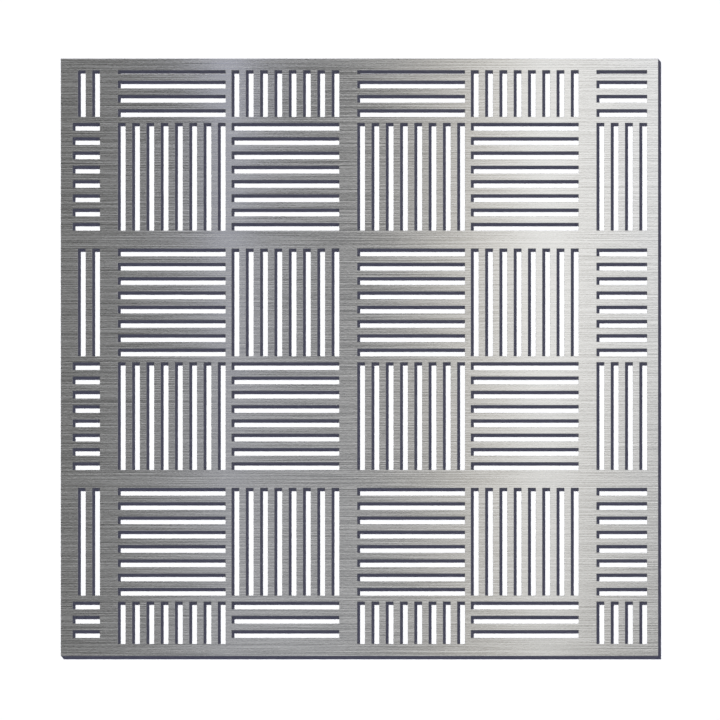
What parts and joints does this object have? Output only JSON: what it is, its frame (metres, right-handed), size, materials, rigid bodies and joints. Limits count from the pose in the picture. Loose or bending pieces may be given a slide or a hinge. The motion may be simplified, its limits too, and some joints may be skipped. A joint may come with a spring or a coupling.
{
  "type": "decorative slotted metal sheet",
  "caption": "Flat square brushed steel sheet, cut through with narrow square-ended slots in basket-weave blocks inside a plain border. For screens, grilles, ceilings and cladding.",
  "frame": {"origin": "under the middle of the sheet, on its back face", "axes": "+Z out of the brushed front face, +X along the brushing to the right, +Y up the pattern"},
  "size_m": [0.6, 0.6, 0.003],
  "materials": {
    "brushed_steel": "fine straight brushing along X on the faces, dark blue-grey cut edges"
  },
  "bodies": {
    "root": {"slotted_sheet": "brushed_steel"}
  },
  "joints": []
}
